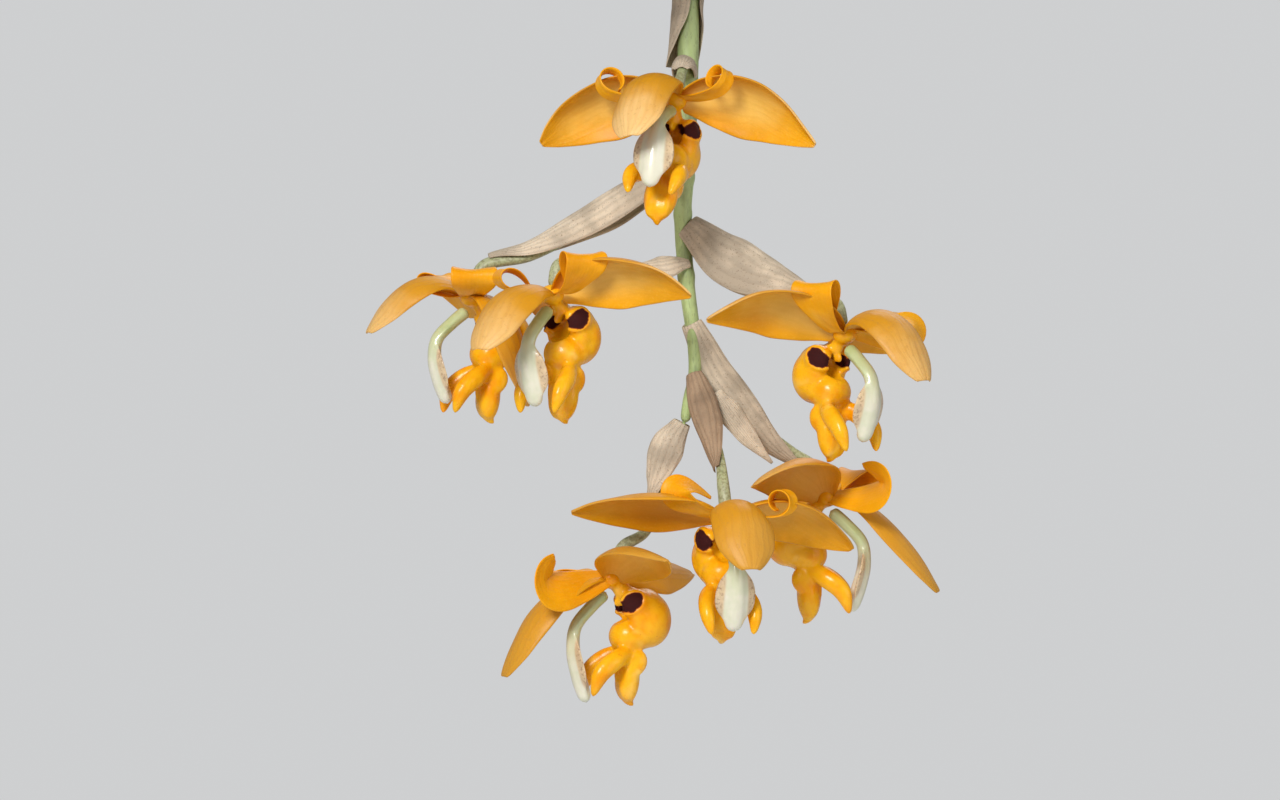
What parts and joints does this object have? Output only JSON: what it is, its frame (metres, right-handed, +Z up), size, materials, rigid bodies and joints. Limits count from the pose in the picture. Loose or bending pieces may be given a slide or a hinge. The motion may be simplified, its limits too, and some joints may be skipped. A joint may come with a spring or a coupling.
{
  "type": "potted stanhopea orchid in a hanging basket",
  "caption": "Stanhopea connata orchid in a hanging slat basket, its pendent raceme of nodding golden flowers hanging below, under ribbed pseudobulbs and pleated leaves.",
  "frame": {"origin": "inside top of the hook crook, where the hook bears on its support", "axes": "+Z up, -Y towards the viewer of the picture, +X to the viewer's right"},
  "size_m": [0.4445, 0.449, 0.6247],
  "materials": {
    "zinc_wire": "satin",
    "teak": "matt, weathered",
    "moss": "rough, fibrous",
    "pseudobulb": "satin, ribbed",
    "leaf": "satin, pleated",
    "stem": "satin",
    "bract": "matt, papery",
    "bloom": "waxy",
    "column": "waxy, slightly translucent"
  },
  "bodies": {
    "root": {"hook": "zinc_wire", "wire_1": "zinc_wire", "wire_2": "zinc_wire", "wire_3": "zinc_wire", "wire_4": "zinc_wire", "bar_1a": "teak", "bar_1b": "teak", "bar_2a": "teak", "bar_2b": "teak", "bar_3a": "teak", "bar_3b": "teak", "bar_4a": "teak", "bar_4b": "teak", "bar_5a": "teak", "bar_5b": "teak", "bar_6a": "teak", "bar_6b": "teak", "slat_1": "teak", "slat_2": "teak", "slat_3": "teak", "slat_4": "teak", "moss": "moss", "pseudobulb_1": "pseudobulb", "pseudobulb_2": "pseudobulb", "pseudobulb_3": "pseudobulb", "pseudobulb_4": "pseudobulb", "pseudobulb_5": "pseudobulb", "leaf_1": "leaf", "leaf_2": "leaf", "leaf_3": "leaf", "leaf_4": "leaf", "raceme_stem": "stem", "stem_sheath": "bract", "bract_spare": "bract", "bloom_1": "bloom", "column_1": "column", "bract_1": "bract", "bloom_2": "bloom", "column_2": "column", "bract_2": "bract", "bloom_3": "bloom", "column_3": "column", "bract_3": "bract", "bloom_4": "bloom", "column_4": "column", "bract_4": "bract", "bloom_5": "bloom", "column_5": "column", "bract_5": "bract", "bloom_6": "bloom", "column_6": "column", "bract_6": "bract", "bloom_7": "bloom", "column_7": "column", "bract_7": "bract"}
  },
  "joints": []
}
